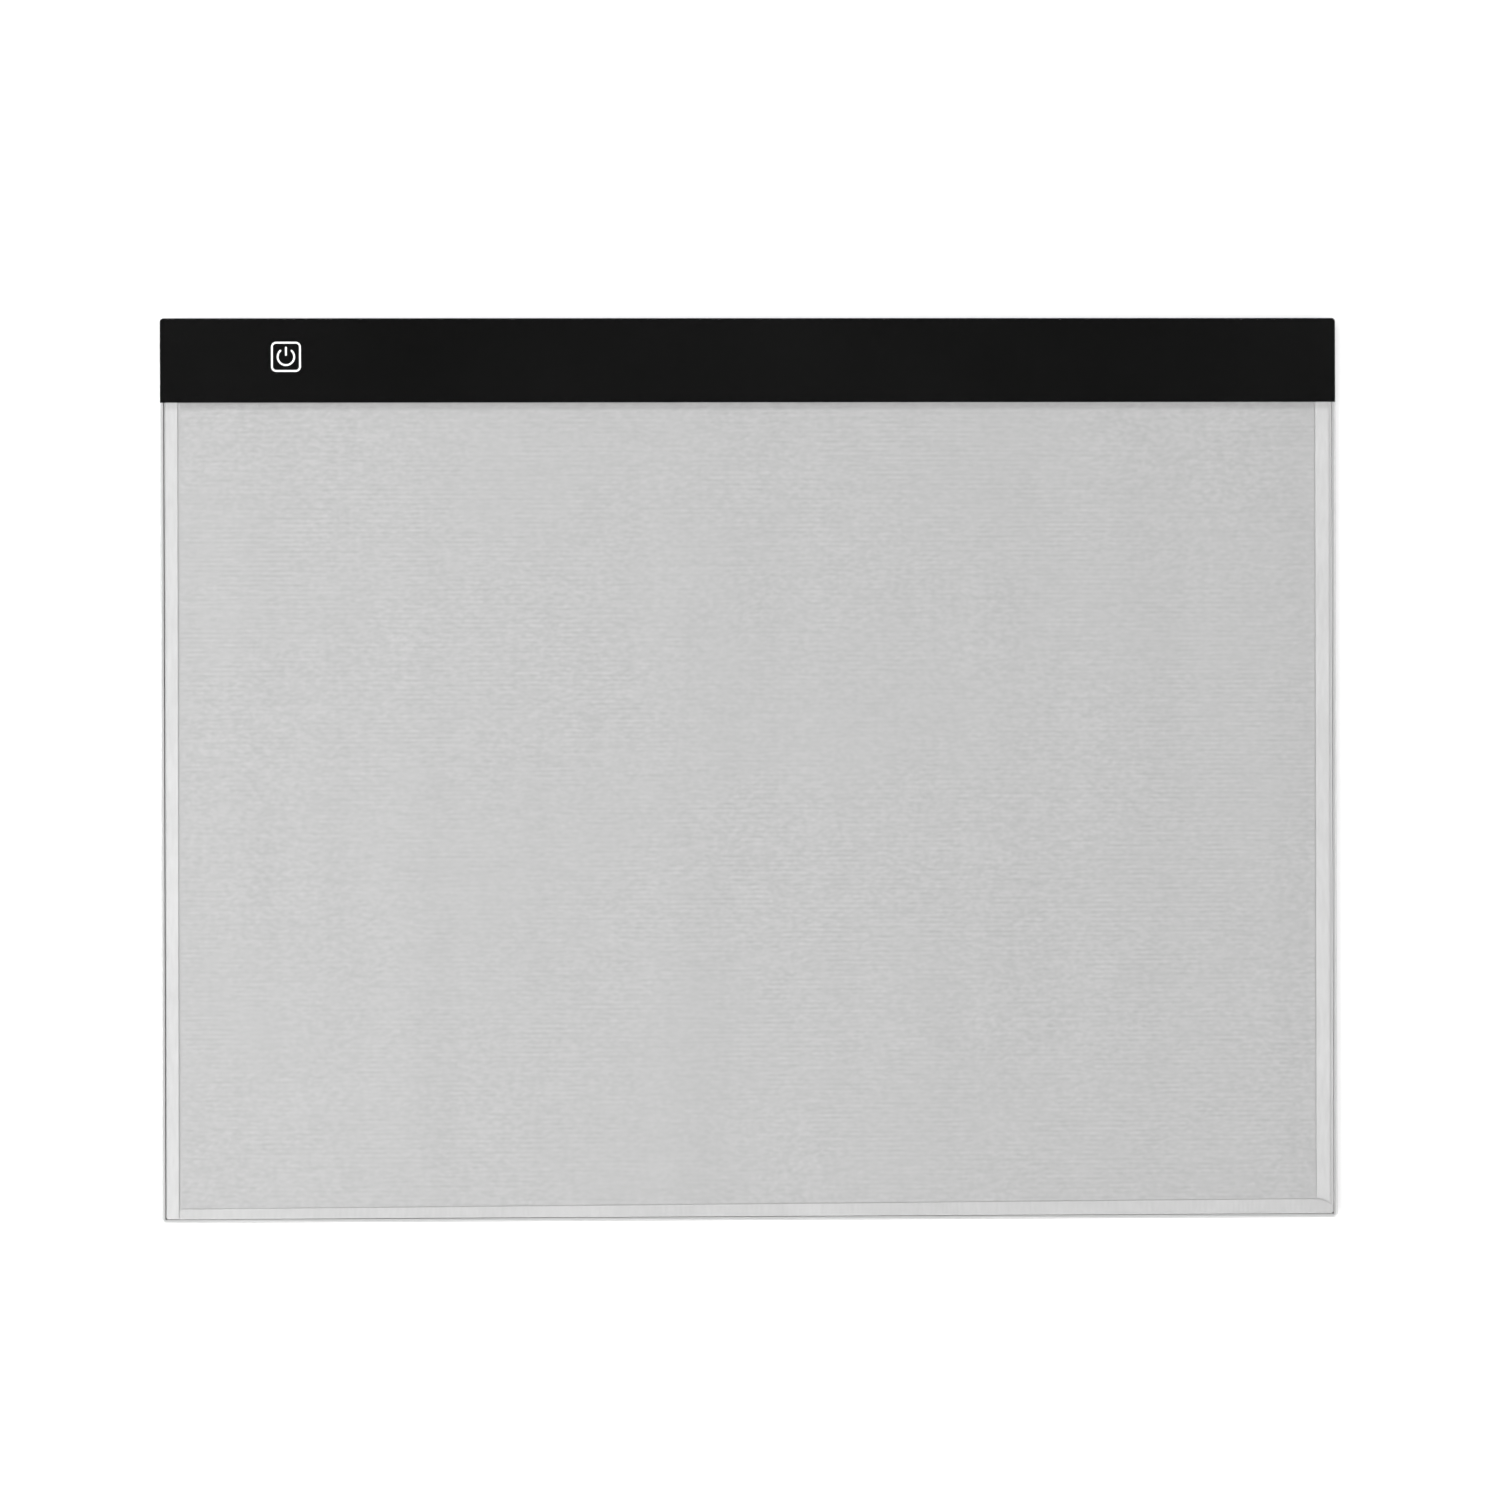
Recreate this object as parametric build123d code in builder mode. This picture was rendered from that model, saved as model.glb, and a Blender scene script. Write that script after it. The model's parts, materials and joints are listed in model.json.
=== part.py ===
from build123d import *
import math
import os

# An edge-lit light box for tracing: a clear acrylic sheet with a black printed band over a light
# guide, lit by a row of LEDs hidden under the band, all bonded into a shallow moulded cover.
# The round-cornered square on the band is a touch key, so nothing on the light box travels.
# Millimetres. The origin is the centre of the footprint on the table, +X runs to the right along
# the band, +Y to the rear, where the band is, and +Z up.

os.makedirs("parts", exist_ok=True)

# ---- Driving dimensions -----------------------------------------------------------------------

# Clear front panel, whose outline is the outline of the whole light box
pad_width = 434.0
pad_depth = 333.0
pad_corner = 1.4
panel_chamfer = 0.3
band_depth = 31.0
print_inset = 0.1

# Thicknesses, from the table up
foot_stand = 0.8
cover_floor = 0.8
base_tape_thickness = 0.1
reflector_thickness = 0.2
guide_thickness = 2.0
film_thickness = 0.15
panel_tape_thickness = 0.3
print_thickness = 0.08
panel_thickness = 1.6

# Moulded rear cover, a tray under the front panel
cover_inset = 0.3
rim_thickness = 0.8
rim_gap = 0.1
cover_bottom_fillet = 0.5
floor_clearance = 0.05

# Light guide
guide_width = 431.1
guide_gap_left = 0.4
guide_gap_front = 0.3
guide_under_band = 6.0

# Strips of white tape between the guide and the front panel. Laid by hand, each is a little out
# of square, so its distance from the panel's edge differs from one end to the other. The front
# strip also widens from left to right.
left_tape_width = 4.3
left_tape_insets = (1.8, 2.0)
right_tape_width = 5.0
right_tape_insets = (2.6, 2.3)
front_tape_widths = (3.7, 4.9)
front_tape_insets = (1.25, 1.75)
tape_joint = 0.2
tape_joint_left = 0.9
tape_slant = 4.5
film_gap = 0.35

# LED bar, standing on edge behind the guide
led_count = 60
led_pitch = 7.0
led_length, led_depth, led_height = 3.0, 0.7, 1.4
window_length, window_depth, window_height = 2.4, 0.25, 0.95
led_gap = 0.2
led_board_length, led_board_thickness, led_board_height = 424.0, 0.8, 2.4
bar_tape_thickness = 0.15
shield_tape_thickness = 0.05
rib_thickness = 1.0
rib_drop = 0.2

# Touch key: a printed round-cornered square round a power sign
key_from_left = 46.25
key_from_rear = 14.1
key_width, key_height, key_corner = 10.3, 10.4, 1.6
key_stroke = 0.7
sign_radius = 3.05
sign_gap_half_angle = 43.0
sign_bar_length = 3.4

# Control board under the key, and its micro-USB inlet in the left rim
board_length, board_width, board_thickness = 52.0, 17.4, 0.8
board_from_rim = 0.5
board_from_rib = 0.85
board_pin_diameter = 1.6
board_hole_clearance = 0.2
inlet_width, inlet_height, inlet_length = 7.5, 2.45, 5.2
inlet_wall = 0.3
inlet_recess = 0.2
inlet_chamfer = 0.8
tongue_width, tongue_thickness, tongue_length = 3.7, 0.6, 2.9
contact_pitch, contact_width, contact_thickness = 0.65, 0.4, 0.12

# Touch spring between the board and the print, and the two supply wires
spring_wire = 0.35
spring_top_radius, spring_foot_radius = 4.0, 2.6
spring_turns = 2.5
wire_diameter = 1.0
wire_pad_thickness = 0.1

# Rubber feet
foot_diameter = 10.0
foot_recess = 0.3
foot_fillet = 0.3
foot_inset = 20.0

# ---- Heights, edges and centres worked out from them ------------------------------------------

cover_bottom = foot_stand
floor_top = cover_bottom + cover_floor
reflector_bottom = floor_top + base_tape_thickness
guide_bottom = reflector_bottom + reflector_thickness
guide_top = guide_bottom + guide_thickness
panel_bottom = guide_top + panel_tape_thickness
print_bottom = panel_bottom - print_thickness
rim_top = panel_bottom - rim_gap

half_width = pad_width / 2
half_depth = pad_depth / 2
band_front = half_depth - band_depth
rim_inside = cover_inset + rim_thickness
inner_left = rim_inside - half_width
inner_right = half_width - rim_inside
inner_front = rim_inside - half_depth
inner_rear = half_depth - rim_inside

guide_left = inner_left + guide_gap_left
guide_right = guide_left + guide_width
guide_front = inner_front + guide_gap_front
guide_rear = band_front + guide_under_band
guide_middle = (guide_left + guide_right) / 2

led_front = guide_rear + led_gap
led_board_front = led_front + led_depth
led_board_rear = led_board_front + led_board_thickness
led_board_bottom = floor_top + floor_clearance
led_board_top = led_board_bottom + led_board_height
led_bar_left = guide_middle - led_board_length / 2
led_bar_right = guide_middle + led_board_length / 2
led_middle_z = (guide_bottom + guide_top) / 2
led_xs = [guide_middle + (i - (led_count - 1) / 2) * led_pitch for i in range(led_count)]
rib_front = led_board_rear + bar_tape_thickness
rib_rear = rib_front + rib_thickness

key_x = key_from_left - half_width
key_y = half_depth - key_from_rear

board_left = inner_left + board_from_rim
board_right = board_left + board_length
board_bottom = floor_top + bar_tape_thickness
board_top = board_bottom + board_thickness
board_front = rib_rear + board_from_rib
board_rear = board_front + board_width
board_middle_y = (board_front + board_rear) / 2
inlet_mouth = cover_inset + inlet_recess - half_width
inlet_back = inlet_mouth + inlet_length
inlet_bottom = floor_top + floor_clearance
inlet_middle_z = inlet_bottom + inlet_height / 2
inlet_y = board_middle_y


def slab(x0, x1, y0, y1, z0, z1, mode=Mode.ADD):
    """A box between two corners, in the part being built."""
    with Locations(((x0 + x1) / 2, (y0 + y1) / 2, (z0 + z1) / 2)):
        Box(x1 - x0, y1 - y0, z1 - z0, mode=mode)


def save(builder, name):
    """Labels a finished piece and writes its STEP file."""
    builder.part.label = name
    export_step(builder.part, f"parts/{name}.step")


# ---- Front panel, its printed band and the touch key's sign -----------------------------------

with BuildPart() as front_panel:
    with BuildSketch(Plane.XY.offset(panel_bottom)):
        RectangleRounded(pad_width, pad_depth, pad_corner)
    extrude(amount=panel_thickness)
    chamfer(front_panel.faces().sort_by(Axis.Z)[-1].edges(), panel_chamfer)
save(front_panel, "front_panel")

# The sign is white ink that shows through openings in the black ink
with BuildPart() as power_symbol:
    with BuildSketch(Plane.XY.offset(print_bottom)) as sign_sketch:
        with Locations((key_x, key_y)):
            RectangleRounded(
                key_width + key_stroke,
                key_height + key_stroke,
                key_corner + key_stroke / 2,
            )
            RectangleRounded(
                key_width - key_stroke,
                key_height - key_stroke,
                key_corner - key_stroke / 2,
                mode=Mode.SUBTRACT,
            )
        sign_arc = CenterArc(
            (key_x, key_y),
            sign_radius,
            90 + sign_gap_half_angle,
            360 - 2 * sign_gap_half_angle,
            mode=Mode.PRIVATE,
        )
        SlotArc(sign_arc, key_stroke)
        with Locations((key_x, key_y + sign_radius + key_stroke - sign_bar_length / 2)):
            SlotOverall(sign_bar_length, key_stroke, rotation=90)
    extrude(amount=print_thickness)
save(power_symbol, "power_symbol")

with BuildPart() as bezel_print:
    with BuildSketch(Plane.XY.offset(print_bottom)):
        RectangleRounded(pad_width - 2 * print_inset, pad_depth - 2 * print_inset, pad_corner - print_inset)
        with Locations((0, half_depth - band_depth / 2)):
            Rectangle(pad_width, band_depth, mode=Mode.INTERSECT)
        add(sign_sketch.sketch, mode=Mode.SUBTRACT)
    extrude(amount=print_thickness)
save(bezel_print, "bezel_print")

# ---- Light guide stack ------------------------------------------------------------------------

guide_corner_chamfer = 0.4

with BuildPart() as light_guide:
    slab(guide_left, guide_right, guide_front, guide_rear, guide_bottom, guide_top)
    chamfer(light_guide.edges().filter_by(Axis.Z), guide_corner_chamfer)
save(light_guide, "light_guide")

# The reflector runs on under the LEDs, to catch what they spill
with BuildPart() as reflector_sheet:
    slab(guide_left, guide_right, guide_front, led_board_front, reflector_bottom, guide_bottom)
save(reflector_sheet, "reflector_sheet")

# White tape on the three edges of the guide that have no LEDs: name, X range and Y range
edge_tape = 0.1
edge_tape_setback = 0.5
edge_x_range = (guide_left + edge_tape_setback, guide_right - edge_tape_setback)
edge_y_range = (guide_front + edge_tape_setback, guide_rear - edge_tape_setback)
edge_reflectors = (
    ("edge_reflector_left", (guide_left - edge_tape, guide_left), edge_y_range),
    ("edge_reflector_right", (guide_right, guide_right + edge_tape), edge_y_range),
    ("edge_reflector_front", edge_x_range, (guide_front - edge_tape, guide_front)),
)
for name, x_range, y_range in edge_reflectors:
    with BuildPart() as edge_reflector:
        slab(*x_range, *y_range, guide_bottom, guide_top)
    save(edge_reflector, name)

# Strips that bond the reflector to the floor of the cover
base_tape_width = 8.0
base_tape_inset = 6.0
base_tape_end_gap = 2.0
base_tape_centres = (
    ("base_tape_left", guide_left + base_tape_inset),
    ("base_tape_middle", guide_middle),
    ("base_tape_right", guide_right - base_tape_inset),
)
for name, centre_x in base_tape_centres:
    with BuildPart() as base_tape:
        slab(
            centre_x - base_tape_width / 2,
            centre_x + base_tape_width / 2,
            guide_front + base_tape_end_gap,
            guide_rear - base_tape_end_gap,
            floor_top,
            reflector_bottom,
        )
    save(base_tape, name)

# ---- Panel tapes and the diffuser film between them -------------------------------------------

tape_front_setback = 0.1
tape_rear_setback = 0.5
tape_front_end = guide_front + tape_front_setback
tape_rear_end = guide_rear - tape_rear_setback


def along(start, end, fraction):
    """The value a fraction of the way from start to end."""
    return start + (end - start) * fraction


def left_tape_x(y, share):
    """X on the left strip at this Y, at this share of its width from its outer edge."""
    fraction = (y - tape_front_end) / (tape_rear_end - tape_front_end)
    return along(*left_tape_insets, fraction) + share * left_tape_width - half_width


def right_tape_x(y, share):
    """X on the right strip at this Y, at this share of its width from its outer edge."""
    fraction = (y - tape_front_end) / (tape_rear_end - tape_front_end)
    return half_width - along(*right_tape_insets, fraction) - share * right_tape_width


def front_tape_y(x, share):
    """Y on the front strip at this X, at this share of its width from its outer edge."""
    fraction = (x - guide_left) / (guide_right - guide_left)
    width = along(*front_tape_widths, fraction)
    return along(*front_tape_insets, fraction) + share * width - half_depth


def flat_strip(corners, thickness):
    """A flat piece on top of the guide, relieved where it runs under the printed band."""
    with BuildPart() as strip:
        with BuildSketch(Plane.XY.offset(guide_top)):
            with BuildLine():
                Polyline(*corners, close=True)
            make_face()
        extrude(amount=thickness)
        slab(-half_width, half_width, band_front, half_depth, print_bottom, panel_bottom, Mode.SUBTRACT)
    return strip


# The left strip runs the full depth
panel_tape_left = flat_strip(
    (
        (left_tape_x(tape_front_end, 0), tape_front_end),
        (left_tape_x(tape_front_end, 1), tape_front_end),
        (left_tape_x(tape_rear_end, 1), tape_rear_end),
        (left_tape_x(tape_rear_end, 0), tape_rear_end),
    ),
    panel_tape_thickness,
)
save(panel_tape_left, "panel_tape_left")

# The front strip starts beside it and runs to the right, where its end was cut by eye: it comes
# to a blunt nose at a little over half the strip's width
nose_setback = 0.2
nose_reach = 0.3
nose_share = 0.55
front_start = left_tape_x(tape_front_end, 1) + tape_joint_left
front_end = guide_right - nose_setback - nose_reach
panel_tape_front = flat_strip(
    (
        (front_start, front_tape_y(front_start, 0)),
        (front_end, front_tape_y(front_end, 0)),
        (front_end + nose_reach, front_tape_y(front_end, nose_share)),
        (front_end - tape_slant, front_tape_y(front_end, 1)),
        (front_start, front_tape_y(front_start, 1)),
    ),
    panel_tape_thickness,
)
save(panel_tape_front, "panel_tape_front")

# The right strip meets the front one with a slanted end, which drops towards the outside
slant_rise = 0.4
slant_drop_share = 0.2
right_end_y = front_tape_y(front_end, 1) + tape_joint
panel_tape_right = flat_strip(
    (
        (right_tape_x(right_end_y, 1), right_end_y + slant_rise),
        (right_tape_x(right_end_y, nose_share), right_end_y),
        (right_tape_x(right_end_y, 0), front_tape_y(front_end, 1 - slant_drop_share)),
        (right_tape_x(tape_rear_end, 0), tape_rear_end),
        (right_tape_x(tape_rear_end, 1), tape_rear_end),
    ),
    panel_tape_thickness,
)
save(panel_tape_right, "panel_tape_right")

# The film is trimmed to the frame of tape, with the widest gap at its left side
film_left = left_tape_x(tape_rear_end, 1) + tape_joint_left
film_front_left = front_tape_y(film_left, 1) + film_gap
film_front_right = front_tape_y(front_end, 1) + film_gap
diffuser_film = flat_strip(
    (
        (film_left, film_front_left),
        (right_tape_x(film_front_right, 1) - film_gap, film_front_right),
        (right_tape_x(tape_rear_end, 1) - film_gap, tape_rear_end),
        (film_left, tape_rear_end),
    ),
    film_thickness,
)
save(diffuser_film, "diffuser_film")

# ---- LED bar ----------------------------------------------------------------------------------

with BuildPart() as led_board:
    slab(led_bar_left, led_bar_right, led_board_front, led_board_rear, led_board_bottom, led_board_top)
save(led_board, "led_board")

# Each LED has a yellow phosphor window in its front face
with BuildPart() as led_windows:
    with Locations([(x, led_front + window_depth / 2, led_middle_z) for x in led_xs]):
        Box(window_length, window_depth, window_height)
save(led_windows, "led_windows")

with BuildPart() as led_packages:
    with Locations([(x, led_front + led_depth / 2, led_middle_z) for x in led_xs]):
        Box(led_length, led_depth, led_height)
    add(led_windows.part, mode=Mode.SUBTRACT)
save(led_packages, "led_packages")

# Black tape over the LEDs keeps their light in the guide
shield_tape_gap = 0.1
with BuildPart() as led_shield_tape:
    slab(
        led_bar_left,
        led_bar_right,
        tape_rear_end + shield_tape_gap,
        led_board_rear,
        led_board_top,
        led_board_top + shield_tape_thickness,
    )
save(led_shield_tape, "led_shield_tape")

# ---- Control board and what is soldered to it -------------------------------------------------

notch_side_gap = 0.1
notch_end_gap = 0.15
board_pins = ((board_left + 9, board_rear - 2), (board_right - 13, board_front + 2))

with BuildPart() as control_board:
    slab(board_left, board_right, board_front, board_rear, board_bottom, board_top)
    slab(
        board_left,
        inlet_back + notch_end_gap,
        inlet_y - inlet_width / 2 - notch_side_gap,
        inlet_y + inlet_width / 2 + notch_side_gap,
        board_bottom,
        board_top,
        mode=Mode.SUBTRACT,
    )
    with Locations([(x, y, board_top) for x, y in board_pins]):
        Hole(board_pin_diameter / 2 + board_hole_clearance / 2)
save(control_board, "control_board")

board_tape_pin_gap = 3.0
board_tape_inset = 1.0
with BuildPart() as board_tape:
    slab(
        board_pins[0][0] + board_tape_pin_gap,
        board_pins[1][0] - board_tape_pin_gap,
        board_front + board_tape_inset,
        board_rear - board_tape_inset,
        floor_top,
        board_bottom,
    )
save(board_tape, "board_tape")

# Inlet shell: a folded tube with a closed back and a solder wing on each side
wing_length, wing_reach, wing_thickness = 2.0, 1.1, 0.3
wing_from_mouth = 2.2


def inlet_profile(inward):
    """The inlet's outline across the X axis, drawn in by this much all round."""
    with Locations((inlet_y, inlet_middle_z)):
        outline = Rectangle(inlet_width - 2 * inward, inlet_height - 2 * inward)
    chamfer(outline.vertices().group_by(Axis.Y)[0], inlet_chamfer - inward / 2)


with BuildPart() as usb_shell:
    with BuildSketch(Plane.YZ.offset(inlet_mouth)):
        inlet_profile(0)
    extrude(amount=inlet_length)
    with BuildSketch(Plane.YZ.offset(inlet_mouth)):
        inlet_profile(inlet_wall)
    extrude(amount=inlet_length - inlet_wall, mode=Mode.SUBTRACT)
    wing_x = inlet_mouth + wing_from_mouth
    for side in (-1, 1):
        wing_y = inlet_y + side * (inlet_width + wing_reach) / 2
        slab(
            wing_x,
            wing_x + wing_length,
            wing_y - wing_reach / 2,
            wing_y + wing_reach / 2,
            board_top,
            board_top + wing_thickness,
        )
save(usb_shell, "usb_shell")

insulator_depth = 1.2
tongue_rise = 0.2
tongue_bottom = inlet_middle_z + tongue_rise - tongue_thickness / 2
insulator_back = inlet_back - inlet_wall
insulator_front = insulator_back - insulator_depth

with BuildPart() as usb_insulator:
    with BuildSketch(Plane.YZ.offset(insulator_front)):
        inlet_profile(inlet_wall)
    extrude(amount=insulator_depth)
    slab(
        insulator_front - tongue_length,
        insulator_front,
        inlet_y - tongue_width / 2,
        inlet_y + tongue_width / 2,
        tongue_bottom,
        tongue_bottom + tongue_thickness,
    )
save(usb_insulator, "usb_insulator")

contact_setback = 0.3
contact_length = tongue_length - contact_setback
with BuildPart() as usb_contacts:
    with Locations((insulator_front - contact_length / 2, inlet_y, tongue_bottom - contact_thickness / 2)):
        with GridLocations(1, contact_pitch, 1, 5):
            Box(contact_length, contact_width, contact_thickness)
save(usb_contacts, "usb_contacts")

# The touch spring widens upwards, from the board to the underside of the key
spring_clearance = 0.02
spring_rise = print_bottom - board_top - spring_wire - 2 * spring_clearance
spring_slope = math.degrees(math.atan2(spring_top_radius - spring_foot_radius, spring_rise))
spring_foot = (key_x, key_y, board_top + spring_wire / 2 + spring_clearance)

with BuildPart() as touch_spring:
    with BuildLine() as spring_path:
        Helix(
            pitch=spring_rise / spring_turns,
            height=spring_rise,
            radius=spring_foot_radius,
            center=spring_foot,
            cone_angle=spring_slope,
        )
    with BuildSketch(spring_path.line ^ 0):
        Circle(spring_wire / 2)
    sweep(path=spring_path.line, is_frenet=True)
save(touch_spring, "touch_spring")

# Chips: centre, body size, and the X offsets of the leads on the front and on the rear side
chip_stand = 0.1
chip_chamfer = 0.15
lead_width, lead_reach, lead_rise, lead_thickness = 0.4, 0.6, 0.6, 0.15
controller_centre = (board_left + 13, board_front + 4.5)
controller_size = (2.9, 1.6, 1.1)
mosfet_centre = (board_right - 6, board_front + 1.6)
mosfet_size = (2.9, 1.3, 1.0)
chip_pitch = 0.95

for name, (x, y), size in (
    ("touch_controller", controller_centre, controller_size),
    ("dimming_mosfet", mosfet_centre, mosfet_size),
):
    with BuildPart(Plane.XY.offset(board_top + chip_stand)) as chip:
        with Locations((x, y)):
            Box(*size, align=(Align.CENTER, Align.CENTER, Align.MIN))
        chamfer(chip.faces().sort_by(Axis.Z)[-1].edges(), chip_chamfer)
    save(chip, name)


def gull_wing_lead(x, body_edge_y, side):
    """A bent lead from the side of a chip's body down to the board."""
    foot_end_y = body_edge_y + side * lead_reach
    riser_y = body_edge_y + side * lead_thickness
    low_y, high_y = sorted((body_edge_y, foot_end_y))
    slab(x - lead_width / 2, x + lead_width / 2, low_y, high_y, board_top, board_top + lead_thickness)
    low_y, high_y = sorted((body_edge_y, riser_y))
    slab(x - lead_width / 2, x + lead_width / 2, low_y, high_y, board_top, board_top + lead_rise)


all_leads = (-chip_pitch, 0, chip_pitch)
outer_leads = (-chip_pitch, chip_pitch)
with BuildPart() as chip_leads:
    for (x, y), size, front_leads, rear_leads in (
        (controller_centre, controller_size, all_leads, all_leads),
        (mosfet_centre, mosfet_size, outer_leads, (0,)),
    ):
        for offset in front_leads:
            gull_wing_lead(x + offset, y - size[1] / 2, -1)
        for offset in rear_leads:
            gull_wing_lead(x + offset, y + size[1] / 2, 1)
save(chip_leads, "chip_leads")

capacitor_size = (2.0, 1.25, 1.0)
resistor_size = (0.8, 1.6, 0.45)
with BuildPart(Plane.XY.offset(board_top)) as chip_capacitors:
    with Locations((board_left + 13, board_front + 8.2), (board_right - 13.5, board_rear - 4)):
        Box(*capacitor_size, align=(Align.CENTER, Align.CENTER, Align.MIN))
save(chip_capacitors, "chip_capacitors")

with BuildPart(Plane.XY.offset(board_top)) as chip_resistors:
    with Locations((board_left + 21, board_front + 3.6)):
        with GridLocations(2.2, 1, 4, 1):
            Box(*resistor_size, align=(Align.CENTER, Align.CENTER, Align.MIN))
save(chip_resistors, "chip_resistors")

# ---- Supply wires from the control board to the back of the LED board -------------------------

wire_z = board_top + wire_pad_thickness + wire_diameter / 2
wire_start_x = board_right - 3.0
wire_end_y = led_board_rear + wire_pad_thickness
wire_routes = {
    "wire_red": (
        (wire_start_x, board_front + 13.0, wire_z),
        (board_right + 6.0, board_front + 12.4, wire_z),
        (board_right + 13.2, board_front + 6.0, wire_z),
        (board_right + 13.6, wire_end_y, wire_z),
    ),
    "wire_black": (
        (wire_start_x, board_front + 9.6, wire_z),
        (board_right + 4.0, board_front + 9.2, wire_z),
        (board_right + 9.6, board_front + 4.4, wire_z),
        (board_right + 9.9, wire_end_y, wire_z),
    ),
}


def bend_radii(points):
    """The largest arc that each corner's two runs leave room for."""
    radii = []
    for before, corner, after in zip(points, points[1:], points[2:]):
        arriving = Vector(*corner) - Vector(*before)
        leaving = Vector(*after) - Vector(*corner)
        half_turn = math.radians(arriving.get_angle(leaving)) / 2
        radii.append(0.45 * min(arriving.length, leaving.length) / math.tan(half_turn))
    return radii


for name, route in wire_routes.items():
    radii = bend_radii(route)
    print(name, "bend radii", [round(radius, 1) for radius in radii])
    with BuildPart() as wire:
        with BuildLine() as wire_path:
            FilletPolyline(*route, radius=radii)
        with BuildSketch(wire_path.line ^ 0):
            Circle(wire_diameter / 2)
        sweep(path=wire_path.line)
    save(wire, name)

# Solder lands under the wires' ends, on both boards
land_length, land_width = 2.0, 1.6
with BuildPart() as solder_joints:
    for route in wire_routes.values():
        start_y, end_x = route[0][1], route[-1][0]
        slab(
            wire_start_x,
            wire_start_x + land_length,
            start_y - land_width / 2,
            start_y + land_width / 2,
            board_top,
            board_top + wire_pad_thickness,
        )
        slab(
            end_x - land_length / 2,
            end_x + land_length / 2,
            led_board_rear,
            wire_end_y,
            wire_z - land_width / 2,
            wire_z + land_width / 2,
        )
save(solder_joints, "solder_joints")

wire_gap_margin = 2.5
wire_gap_left = wire_routes["wire_black"][-1][0] - wire_gap_margin
wire_gap_right = wire_routes["wire_red"][-1][0] + wire_gap_margin

bar_tape_top = led_board_top - 0.4
with BuildPart() as led_board_tape:
    slab(led_bar_left, led_bar_right, led_board_rear, rib_front, led_board_bottom, bar_tape_top)
    slab(
        wire_gap_left,
        wire_gap_right,
        led_board_rear,
        rib_front,
        led_board_bottom,
        led_board_top,
        mode=Mode.SUBTRACT,
    )
save(led_board_tape, "led_board_tape")

# ---- Rear cover -------------------------------------------------------------------------------

post_diameter = 5.0
post_from_rib = 9.0
post_xs = (-60.0, 20.0, 100.0, 180.0)
post_y = rib_rear + post_from_rib
ledge_width = 2.4
ledge_tape_thickness = 0.15
ledge_tape_side_gap = 1.0
ledge_tape_edge_gap = 0.1
ledge_top = print_bottom - ledge_tape_thickness
port_side_gap = 0.4
foot_xs = (foot_inset - half_width, 0.0, half_width - foot_inset)
foot_ys = (foot_inset - half_depth, half_depth - foot_inset)
foot_recess_clearance = 0.4
pin_rise = 0.4
pin_height = board_thickness + bar_tape_thickness + pin_rise

with BuildPart() as rear_cover:
    with BuildSketch(Plane.XY.offset(cover_bottom)):
        RectangleRounded(pad_width - 2 * cover_inset, pad_depth - 2 * cover_inset, pad_corner - cover_inset)
    extrude(amount=rim_top - cover_bottom)
    fillet(rear_cover.faces().sort_by(Axis.Z)[0].edges(), cover_bottom_fillet)
    with BuildSketch(Plane.XY.offset(floor_top)):
        Rectangle(inner_right - inner_left, inner_rear - inner_front)
    extrude(amount=rim_top - floor_top, mode=Mode.SUBTRACT)
    # Ledge for the tape at the rear
    slab(inner_left, inner_right, inner_rear - ledge_width, inner_rear, floor_top, ledge_top)
    # Rib that the LED bar is taped to, with a gap for the two wires
    slab(inner_left, inner_right, rib_front, rib_rear, floor_top, rim_top - rib_drop)
    slab(
        wire_gap_left,
        wire_gap_right,
        rib_front,
        rib_rear,
        floor_top,
        rim_top,
        mode=Mode.SUBTRACT,
    )
    # Posts that hold the printed band up, and pins that place the control board
    with Locations([(x, post_y, floor_top) for x in post_xs]):
        Cylinder(post_diameter / 2, rim_top - floor_top, align=(Align.CENTER, Align.CENTER, Align.MIN))
    with Locations([(x, y, floor_top) for x, y in board_pins]):
        Cylinder(board_pin_diameter / 2, pin_height, align=(Align.CENTER, Align.CENTER, Align.MIN))
    # Opening in the left rim for the inlet
    slab(
        -half_width,
        inner_left,
        inlet_y - inlet_width / 2 - port_side_gap,
        inlet_y + inlet_width / 2 + port_side_gap,
        floor_top,
        rim_top,
        mode=Mode.SUBTRACT,
    )
    # Recesses that the feet sit in
    with Locations([(x, y, cover_bottom) for x in foot_xs for y in foot_ys]):
        Cylinder(
            (foot_diameter + foot_recess_clearance) / 2,
            foot_recess,
            align=(Align.CENTER, Align.CENTER, Align.MIN),
            mode=Mode.SUBTRACT,
        )
save(rear_cover, "rear_cover")

with BuildPart() as panel_tape_rear:
    slab(
        inner_left + ledge_tape_side_gap,
        inner_right - ledge_tape_side_gap,
        inner_rear - ledge_width + ledge_tape_edge_gap,
        inner_rear - ledge_tape_edge_gap,
        ledge_top,
        print_bottom,
    )
save(panel_tape_rear, "panel_tape_rear")

# ---- Blank label and feet on the underside ----------------------------------------------------

label_length, label_width, label_thickness, label_corner = 36.0, 18.0, 0.1, 1.5
label_centre = (120.0, 118.0)
with BuildPart() as underside_label:
    with BuildSketch(Plane.XY.offset(cover_bottom - label_thickness)):
        with Locations(label_centre):
            RectangleRounded(label_length, label_width, label_corner)
    extrude(amount=label_thickness)
save(underside_label, "underside_label")

for row_name, y in zip(("front", "rear"), foot_ys):
    for place_name, x in zip(("left", "middle", "right"), foot_xs):
        with BuildPart() as foot:
            with Locations((x, y, 0)):
                Cylinder(
                    foot_diameter / 2,
                    foot_stand + foot_recess,
                    align=(Align.CENTER, Align.CENTER, Align.MIN),
                )
            fillet(foot.edges().sort_by(Axis.Z)[0], foot_fillet)
        save(foot, f"foot_{row_name}_{place_name}")
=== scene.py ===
import json
import math

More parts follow.
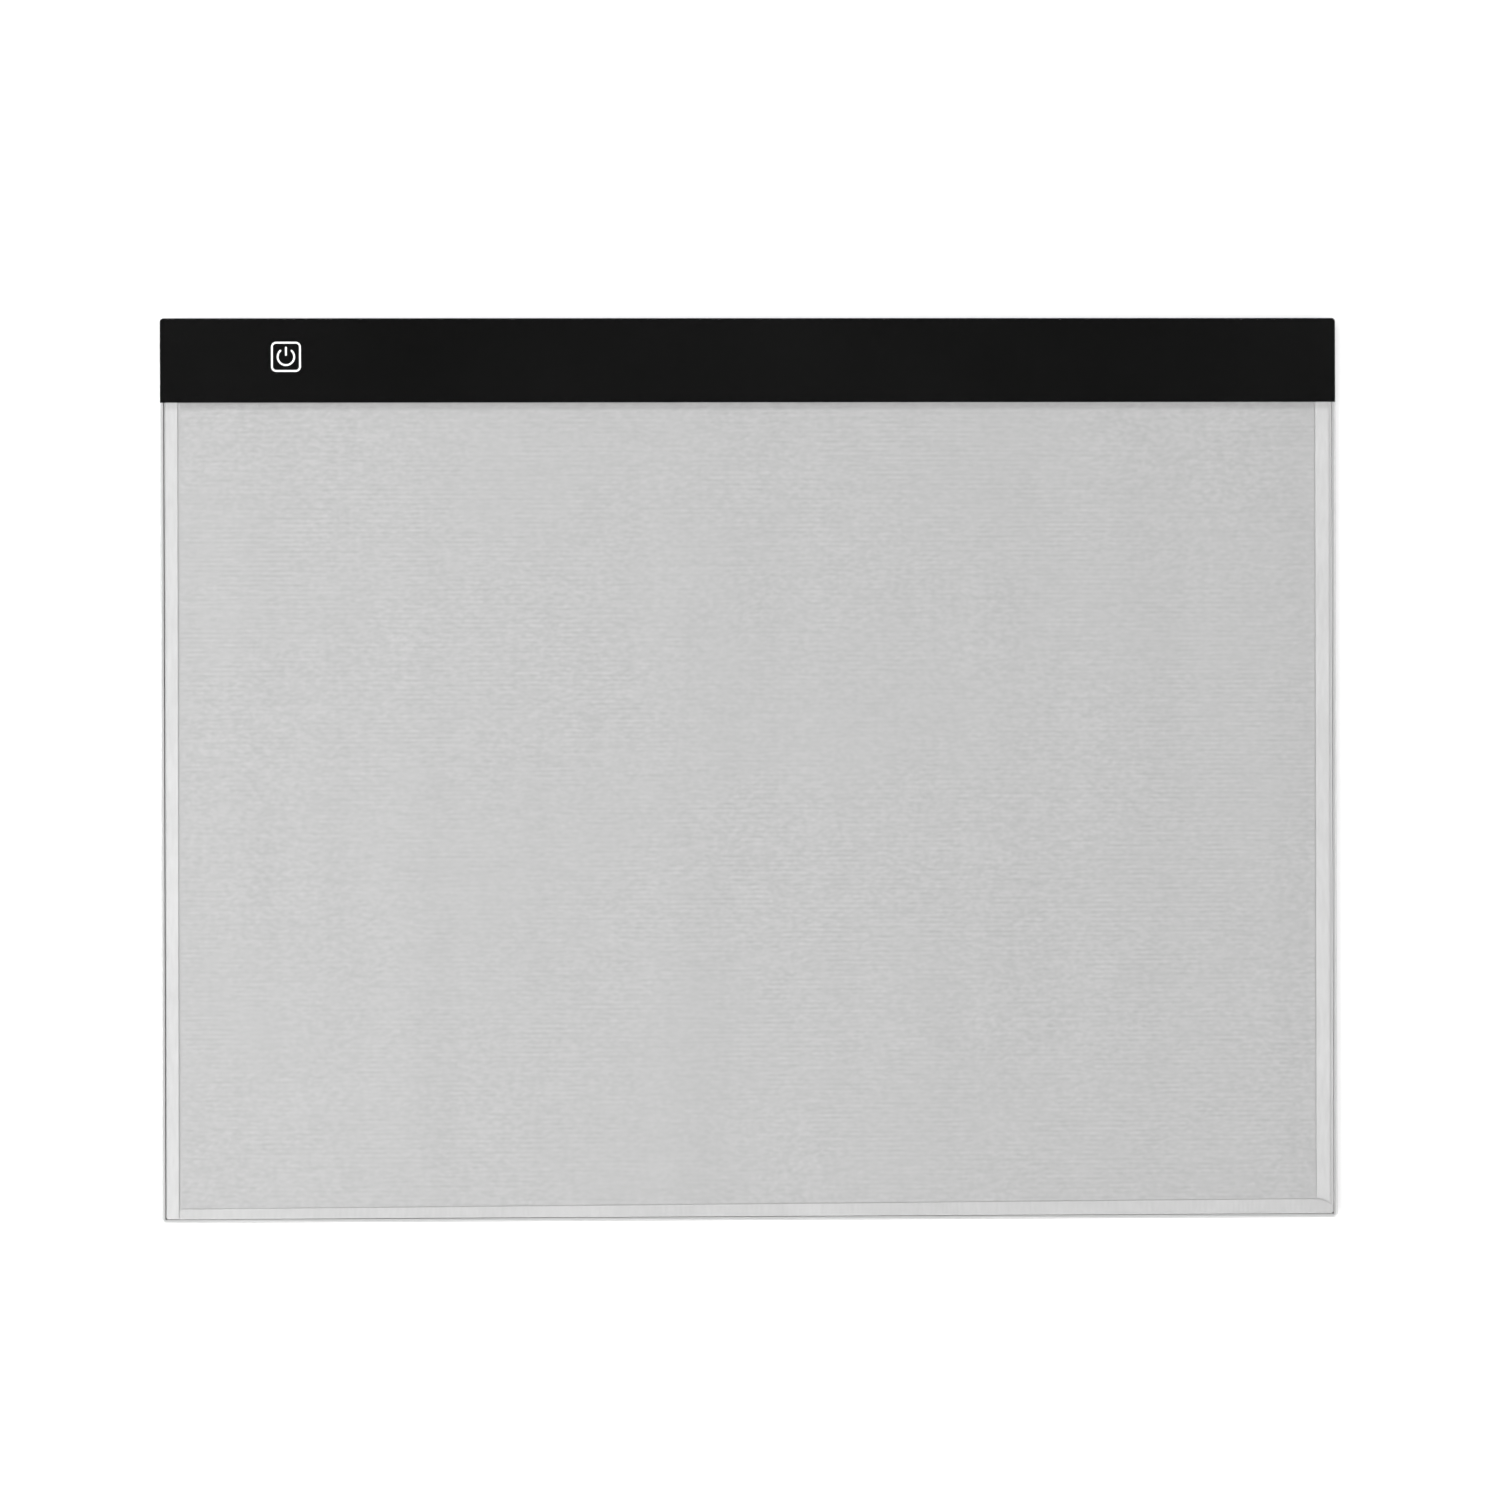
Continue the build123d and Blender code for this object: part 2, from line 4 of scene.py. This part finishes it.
import bmesh
import bpy
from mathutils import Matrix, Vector


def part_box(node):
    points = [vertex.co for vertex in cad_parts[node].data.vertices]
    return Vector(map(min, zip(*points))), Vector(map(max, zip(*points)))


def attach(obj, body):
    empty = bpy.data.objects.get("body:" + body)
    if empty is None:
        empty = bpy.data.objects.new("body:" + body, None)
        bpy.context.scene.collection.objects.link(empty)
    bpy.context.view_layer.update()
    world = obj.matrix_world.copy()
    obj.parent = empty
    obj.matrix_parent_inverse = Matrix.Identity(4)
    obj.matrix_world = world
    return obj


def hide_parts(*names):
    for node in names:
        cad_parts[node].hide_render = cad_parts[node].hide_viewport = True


# Looks of an edge-lit light box for tracing, in metres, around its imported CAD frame. The box lies
# flat on a white floor, with the black band to the rear (+Y) and the USB inlet in its left side.

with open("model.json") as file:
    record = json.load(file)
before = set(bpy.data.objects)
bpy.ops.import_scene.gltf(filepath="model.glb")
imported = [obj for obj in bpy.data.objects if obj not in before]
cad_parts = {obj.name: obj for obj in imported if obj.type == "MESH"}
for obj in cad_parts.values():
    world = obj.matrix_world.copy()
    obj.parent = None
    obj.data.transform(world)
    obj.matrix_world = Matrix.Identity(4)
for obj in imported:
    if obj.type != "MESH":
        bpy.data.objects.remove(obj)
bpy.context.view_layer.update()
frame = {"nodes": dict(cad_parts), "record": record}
MM = 0.001

panel_low, panel_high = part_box("front_panel")
guide_low, guide_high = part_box("light_guide")
band_front_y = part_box("bezel_print")[0].y


# ---- Node helpers -----------------------------------------------------------------------------


class Graph:
    """A material under construction: its node tree, its Principled shader and its coordinates."""

    def __init__(self, name, roughness, base=(0.8, 0.8, 0.8), **sockets):
        self.material = bpy.data.materials.new(f"{name}_look")
        self.material.use_nodes = True
        self.tree = self.material.node_tree
        self.shader = self.tree.nodes["Principled BSDF"]
        self.output = self.tree.nodes["Material Output"]
        self.shader.inputs["Base Color"].default_value = (*base, 1)
        self.shader.inputs["Roughness"].default_value = roughness
        for socket, value in sockets.items():
            self.shader.inputs[socket.replace("_", " ")].default_value = value
        self.place = self.tree.nodes.new("ShaderNodeTexCoord").outputs["Object"]

    def link(self, source, target):
        """Links an output to an input, or sets the input to a plain value."""
        if isinstance(source, (int, float, tuple)):
            target.default_value = source
        else:
            self.tree.links.new(source, target)

    def maths(self, operation, *values):
        node = self.tree.nodes.new("ShaderNodeMath")
        node.operation = operation
        for value, socket in zip(values, node.inputs):
            self.link(value, socket)
        return node.outputs[0]

    def axes(self):
        """The X, Y and Z of the point, in metres."""
        split = self.tree.nodes.new("ShaderNodeSeparateXYZ")
        self.link(self.place, split.inputs[0])
        return split.outputs

    def noise(self, per_metre, detail=2.0, roughness=0.5):
        """Noise from 0 to 1. It has this many features to the metre, or so many along X, Y and Z."""
        stretch = self.tree.nodes.new("ShaderNodeVectorMath")
        stretch.operation = "MULTIPLY"
        self.link(self.place, stretch.inputs[0])
        stretch.inputs[1].default_value = per_metre if isinstance(per_metre, tuple) else (per_metre,) * 3
        node = self.tree.nodes.new("ShaderNodeTexNoise")
        node.inputs["Scale"].default_value = 1.0
        node.inputs["Detail"].default_value = detail
        node.inputs["Roughness"].default_value = roughness
        self.link(stretch.outputs[0], node.inputs["Vector"])
        return node.outputs["Fac"]

    def remap(self, value, low, high, new_low, new_high, smooth=False):
        """The value brought from one range to another, and kept inside it."""
        node = self.tree.nodes.new("ShaderNodeMapRange")
        node.interpolation_type = "SMOOTHSTEP" if smooth else "LINEAR"
        self.link(value, node.inputs["Value"])
        node.inputs["From Min"].default_value = low
        node.inputs["From Max"].default_value = high
        node.inputs["To Min"].default_value = new_low
        node.inputs["To Max"].default_value = new_high
        return node.outputs["Result"]

    def spread(self, noise, middle, swing):
        """A noise that swings this far to each side of a middle. Most noise lies from 0.3 to 0.7."""
        return self.remap(noise, 0.3, 0.7, middle - swing, middle + swing)

    def add(self, first, *others):
        for other in others:
            first = self.maths("ADD", first, other)
        return first

    def times(self, first, *others):
        for other in others:
            first = self.maths("MULTIPLY", first, other)
        return first

    def grey(self, tone, tint=(1, 1, 1)):
        """Links a tone, times a tint, to the base colour."""
        join = self.tree.nodes.new("ShaderNodeCombineXYZ")
        for part, socket in zip(tint, join.inputs):
            self.link(self.times(tone, part), socket)
        self.link(join.outputs[0], self.shader.inputs["Base Color"])

    def rough(self, value):
        self.link(value, self.shader.inputs["Roughness"])

    def bump(self, height, distance):
        """Bump from a height of 0 to 1 that stands for this many metres."""
        node = self.tree.nodes.new("ShaderNodeBump")
        node.inputs["Distance"].default_value = distance
        self.link(height, node.inputs["Height"])
        self.link(node.outputs[0], self.shader.inputs["Normal"])


# ---- Materials --------------------------------------------------------------------------------


def band_shade(graph, full, shaded):
    """A value that falls from full to shaded close to the black band, which keeps light off."""
    reach, core = 3.6 * MM, 1.3 * MM
    y = graph.axes()[1]
    return graph.remap(y, band_front_y - reach, band_front_y - core, full, shaded, smooth=True)


def clear_acrylic():
    """Clear sheet, faintly smudged and wavy, that lets lamps through to what lies under it."""
    clean, smudged = 0.03, 0.08
    waviness = 0.1 * MM
    lamp_share = 0.92
    graph = Graph("clear_acrylic", 0.04, (1, 1, 1), Transmission_Weight=1.0, IOR=1.49)
    graph.rough(graph.remap(graph.noise(14, 4.0, 0.6), 0.35, 0.7, clean, smudged))
    graph.bump(graph.noise(5, 1.0), waviness)
    paths = graph.tree.nodes.new("ShaderNodeLightPath").outputs
    passes = graph.maths("MAXIMUM", paths["Is Shadow Ray"], paths["Is Diffuse Ray"])
    clear = graph.tree.nodes.new("ShaderNodeBsdfTransparent")
    clear.inputs["Color"].default_value = (lamp_share, lamp_share, lamp_share, 1)
    mix = graph.tree.nodes.new("ShaderNodeMixShader")
    graph.link(passes, mix.inputs[0])
    graph.link(graph.shader.outputs[0], mix.inputs[1])
    graph.link(clear.outputs[0], mix.inputs[2])
    graph.link(mix.outputs[0], graph.output.inputs["Surface"])
    return graph.material


def black_ink():
    """Screen-printed ink, seen through the panel: dense, with a faint unevenness."""
    tone, cloudiness, graininess = 0.0041, 0.0011, 0.0015
    graph = Graph("black_ink", 0.6, Specular_IOR_Level=0.0)
    cloud = graph.spread(graph.noise(9, 3.0), tone, cloudiness)
    grain = graph.times(graph.noise(900), graininess)
    graph.grey(graph.add(cloud, grain))
    return graph.material


def white_ink():
    thin, dense = 0.90, 0.98
    graph = Graph("white_ink", 0.6, Specular_IOR_Level=0.0)
    graph.grey(graph.remap(graph.noise(1500), 0.2, 0.8, thin, dense))
    return graph.material


def diffuser_film():
    """Pale grey film, finely speckled, through which the rows of the light guide's print show."""
    tone, shaded_share = 0.474, 0.8
    row_pitch = 1.76 * MM
    row_depth, speckle_depth, streak_depth, band_depth = 0.023, 0.036, 0.008, 0.006
    graph = Graph("diffuser_film", 0.75, Specular_IOR_Level=0.2)

    # Rows run across the film, broken into dashes, and fade out here and there.
    wave = graph.maths("SINE", graph.maths("DIVIDE", graph.axes()[1], row_pitch / math.tau))
    dashes = graph.remap(graph.noise((130, 420, 130), 1.0), 0.4, 0.6, 0, 1)
    row_patches = graph.remap(graph.noise(9), 0.38, 0.62, 0.3, 1.0)
    rows = graph.times(wave, dashes, row_patches, row_depth)

    # Specks a little wider than deep, also in patches.
    specks = graph.spread(graph.noise((420, 640, 420), 2.0, 0.6), 0, speckle_depth)
    speck_patches = graph.remap(graph.noise(13, 3.0), 0.36, 0.6, 0.55, 1.0)
    speckle = graph.times(specks, speck_patches)

    # Fine streaks across, and soft bands from front to rear.
    streaks = graph.spread(graph.noise((80, 700, 80)), 0, streak_depth)
    bands = graph.spread(graph.noise((70, 3.0, 70)), 0, band_depth)

    texture = graph.add(rows, speckle, streaks, bands, tone)
    graph.grey(graph.times(texture, band_shade(graph, 1.0, shaded_share)))
    return graph.material


def guide_acrylic():
    """The light guide, pale by its print, with painted light that lifts its tone towards its taped right
    and front edges.
    """
    tone, cloudiness = 0.46, 0.015
    right_painted_light, front_painted_light = 0.06, 0.10
    painted_light_reach, painted_light_core = 4 * MM, 2 * MM
    graph = Graph("guide_acrylic", 0.3)
    x, y, _ = graph.axes()
    # Painted light: the tone rises towards the right and front edges, as if those edges glowed.
    right = graph.remap(x, guide_high.x - painted_light_reach, guide_high.x - painted_light_core, 0, right_painted_light)
    front = graph.remap(y, guide_low.y + painted_light_reach, guide_low.y + painted_light_core, 0, front_painted_light)
    cloud = graph.spread(graph.noise(14), tone, cloudiness)
    graph.grey(graph.add(cloud, graph.maths("MAXIMUM", right, front)))
    return graph.material


def white_tape(name, tone):
    """Tape that shows white through the panel, with faint blotches, and fibres along Y."""
    fibre_depth, blotch_depth = 0.04, 0.03
    blotch_height = 0.02 * MM
    shaded_share = 0.82
    graph = Graph(name, 0.55, Specular_IOR_Level=0.3)
    blotch = graph.noise(45)
    fibre = graph.spread(graph.noise((900, 160, 900), 4.0), 1, fibre_depth)
    mottle = graph.add(fibre, graph.spread(blotch, 0, blotch_depth))
    graph.grey(graph.times(mottle, band_shade(graph, tone, shaded_share * tone)))
    graph.bump(blotch, blotch_height)
    return graph.material


def plain_surface(name, tone, roughness, tint=(1, 1, 1), texture=0.0):
    """A plain material, clouded by 3% and with a fine grain in its gloss, or in relief as well."""
    cloud_share, gloss_swing = 0.03, 0.06
    graph = Graph(name, roughness)
    grain = graph.noise(1800, 3.0)
    graph.grey(graph.spread(graph.noise(14), tone, cloud_share * tone), tint)
    graph.rough(graph.spread(grain, roughness, gloss_swing))
    if texture:
        graph.bump(grain, texture)
    return graph.material


def plated_metal(name, tint, roughness):
    """Plated sheet metal with fine rolling marks along X."""
    gloss_swing = 0.08
    mark_depth = 0.002 * MM
    graph = Graph(name, roughness, tint, Metallic=1.0)
    marks = graph.noise((400, 6000, 6000), 3.0)
    graph.rough(graph.spread(marks, roughness, gloss_swing))
    graph.bump(marks, mark_depth)
    return graph.material


def rubber():
    tone, tone_swing = 0.045, 0.01
    grain_depth = 0.03 * MM
    graph = Graph("rubber", 0.7, Specular_IOR_Level=0.35)
    grain = graph.noise(1500, 3.0)
    graph.grey(graph.spread(grain, tone, tone_swing))
    graph.bump(grain, grain_depth)
    return graph.material


materials = {
    "clear_acrylic": clear_acrylic(),
    "black_print": black_ink(),
    "white_print": white_ink(),
    "guide_acrylic": guide_acrylic(),
    "diffuser_film": diffuser_film(),
    "reflector_film": plain_surface("reflector_film", 0.72, 0.6),
    "white_tape": white_tape("white_tape", 0.53),
    "front_tape": white_tape("front_tape", 0.48),
    # The guide's edge tapes: whiter at the right and front as painted light, greyer at the left as
    # painted shade.
    "edge_reflector_tape_painted_light": white_tape("edge_reflector_tape_painted_light", 0.90),
    "left_reflector_tape_painted_shade": white_tape("left_reflector_tape_painted_shade", 0.35),
    "bar_tape": plain_surface("bar_tape", 0.6, 0.5),
    "black_tape": plain_surface("black_tape", 0.02, 0.5),
    "board_laminate_white": plain_surface("board_laminate_white", 0.8, 0.35),
    "board_laminate_green": plain_surface("board_laminate_green", 1.0, 0.35, (0.03, 0.2, 0.08)),
    "led_body": plain_surface("led_body", 0.85, 0.45),
    "led_phosphor": plain_surface("led_phosphor", 1.0, 0.35, (0.8, 0.62, 0.12)),
    "chip_resin": plain_surface("chip_resin", 0.03, 0.5),
    "plated_steel": plated_metal("plated_steel", (0.66, 0.66, 0.67), 0.3),
    "contact_gold": plated_metal("contact_gold", (0.86, 0.66, 0.3), 0.25),
    "connector_plastic": plain_surface("connector_plastic", 0.03, 0.5),
    "capacitor_ceramic": plain_surface("capacitor_ceramic", 1.0, 0.5, (0.5, 0.36, 0.24)),
    "resistor_ceramic": plain_surface("resistor_ceramic", 0.06, 0.4),
    "wire_red": plain_surface("wire_red", 1.0, 0.4, (0.5, 0.02, 0.02)),
    "wire_black": plain_surface("wire_black", 0.02, 0.4),
    "cover_plastic": plain_surface("cover_plastic", 0.46, 0.5, texture=0.01 * MM),
    "label_paper": plain_surface("label_paper", 0.8, 0.6),
    "foot_rubber": rubber(),
}

# Each CAD node takes the look of its slot. Of the tapes, the front strip is a little greyer, and
# those on the guide's edges are whiter at the right and front as painted light, and greyer at the
# left as painted shade.
look_of = {entry["node"]: entry["material_slot"] for entry in frame["record"]["subparts"]}
look_of["panel_tape_front"] = "front_tape"
look_of["edge_reflector_right"] = "edge_reflector_tape_painted_light"
look_of["edge_reflector_front"] = "edge_reflector_tape_painted_light"
look_of["edge_reflector_left"] = "left_reflector_tape_painted_shade"
for node, piece in frame["nodes"].items():
    for material_slot in piece.material_slots:
        material_slot.material = materials[look_of[node]]


# ---- Front panel ------------------------------------------------------------------------------


def rounded_outline(low, high, radius, inset, steps):
    """Points round a rounded rectangle that is drawn in by inset, anticlockwise from above."""
    smallest_arc = 0.05 * MM
    arc = max(radius - inset, smallest_arc)
    corners = ((high.x, high.y, 0), (low.x, high.y, 90), (low.x, low.y, 180), (high.x, low.y, 270))
    points = []
    for x, y, start in corners:
        centre_x = x - math.copysign(inset + arc, x)
        centre_y = y - math.copysign(inset + arc, y)
        for step in range(steps + 1):
            angle = math.radians(start + 90 * step / steps)
            points.append((centre_x + arc * math.cos(angle), centre_y + arc * math.sin(angle)))
    return points


def make_front_panel():
    """The clear sheet, with a cut edge that is eased all round and a chamfer at the top."""
    sink = 0.01 * MM
    chamfer = 0.3 * MM
    ease = 0.05 * MM
    corner_radius, corner_steps = 1.4 * MM, 10
    top, bottom = panel_high.z, panel_low.z - sink
    # How far each ring of the edge is drawn in, and its height, from the underside to the face.
    profile = (
        (ease, bottom),
        (0.0, bottom + ease),
        (0.0, top - chamfer - ease),
        (0.3 * ease, top - chamfer + 0.5 * ease),
        (chamfer - 0.5 * ease, top - 0.3 * ease),
        (chamfer + ease, top),
    )
    mesh = bpy.data.meshes.new("front_panel_sheet")
    build = bmesh.new()
    rings = []
    for inset, height in profile:
        outline = rounded_outline(panel_low, panel_high, corner_radius, inset, corner_steps)
        rings.append([build.verts.new((x, y, height)) for x, y in outline])
    for lower, upper in zip(rings, rings[1:]):
        for i in range(len(lower)):
            j = (i + 1) % len(lower)
            build.faces.new((lower[i], lower[j], upper[j], upper[i])).smooth = True
    build.faces.new(rings[-1])
    build.faces.new(list(reversed(rings[0])))
    for ring in (rings[0], rings[-1]):
        for i, vert in enumerate(ring):
            build.edges.get((vert, ring[(i + 1) % len(ring)])).smooth = False
    bmesh.ops.recalc_face_normals(build, faces=build.faces)
    build.to_mesh(mesh)
    build.free()
    sheet = bpy.data.objects.new("front_panel_sheet", mesh)
    bpy.context.collection.objects.link(sheet)
    mesh.materials.append(materials["clear_acrylic"])
    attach(sheet, "root")
    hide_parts("front_panel")


make_front_panel()


# ---- Floor, light and camera ------------------------------------------------------------------


def make_floor():
    half_side = 6.0
    paper_white = (0.93, 0.93, 0.93)
    corners = [(-half_side, -half_side, 0), (half_side, -half_side, 0)]
    corners += [(half_side, half_side, 0), (-half_side, half_side, 0)]
    mesh = bpy.data.meshes.new("floor")
    mesh.from_pydata(corners, [], [(0, 1, 2, 3)])
    floor = bpy.data.objects.new("floor", mesh)
    bpy.context.collection.objects.link(floor)
    graph = Graph("floor_paper", 0.9, paper_white, Specular_IOR_Level=0.1)
    mesh.materials.append(graph.material)


def make_world():
    """A sky that changes only with height: pale low down, dim above that, then a bright ring, and
    dark overhead. So the glossy band looks black from above and dark from the side."""
    # Heights are those of a direction, 0 at the horizon and 1 overhead.
    levels_by_height = (
        (0.0, 1.15), (0.10, 1.0), (0.20, 0.45), (0.28, 0.25), (0.54, 0.27),
        (0.66, 2.65), (0.84, 2.65), (0.91, 0.06), (1.0, 0.05),
    )
    world = bpy.data.worlds.new("studio")
    bpy.context.scene.world = world
    world.use_nodes = True
    tree = world.node_tree
    direction = tree.nodes.new("ShaderNodeTexCoord")
    split = tree.nodes.new("ShaderNodeSeparateXYZ")
    ramp = tree.nodes.new("ShaderNodeValToRGB")
    tree.links.new(direction.outputs["Generated"], split.inputs[0])
    tree.links.new(split.outputs["Z"], ramp.inputs[0])
    stops = ramp.color_ramp.elements
    for i, (height, level) in enumerate(levels_by_height):
        stop = stops[i] if i < 2 else stops.new(height)
        stop.position = height
        stop.color = (level, level, level, 1)
    tree.links.new(ramp.outputs[0], tree.nodes["Background"].inputs["Color"])


def make_key_light():
    """A square soft lamp to the left of the box, aimed at its middle."""
    place = Vector((-1.25, -0.25, 0.95))
    data = bpy.data.lights.new("key", "AREA")
    data.energy = 15.0
    data.size = 1.0
    key = bpy.data.objects.new("key", data)
    key.location = place
    key.rotation_euler = (-place).to_track_quat("-Z", "Y").to_euler()
    bpy.context.collection.objects.link(key)


def make_camera():
    """A camera about a metre above the face that looks nearly straight down."""
    place = (-0.0179, 0.0068, 1.0820)
    turn_in_degrees = (0.016, -0.944, -0.161)
    data = bpy.data.cameras.new("camera")
    data.lens = 70
    data.sensor_width = 36
    camera = bpy.data.objects.new("camera", data)
    camera.location = place
    camera.rotation_euler = [math.radians(angle) for angle in turn_in_degrees]
    bpy.context.collection.objects.link(camera)
    bpy.context.scene.camera = camera


make_floor()
make_world()
make_key_light()
make_camera()
bpy.context.scene.view_settings.view_transform = "Standard"
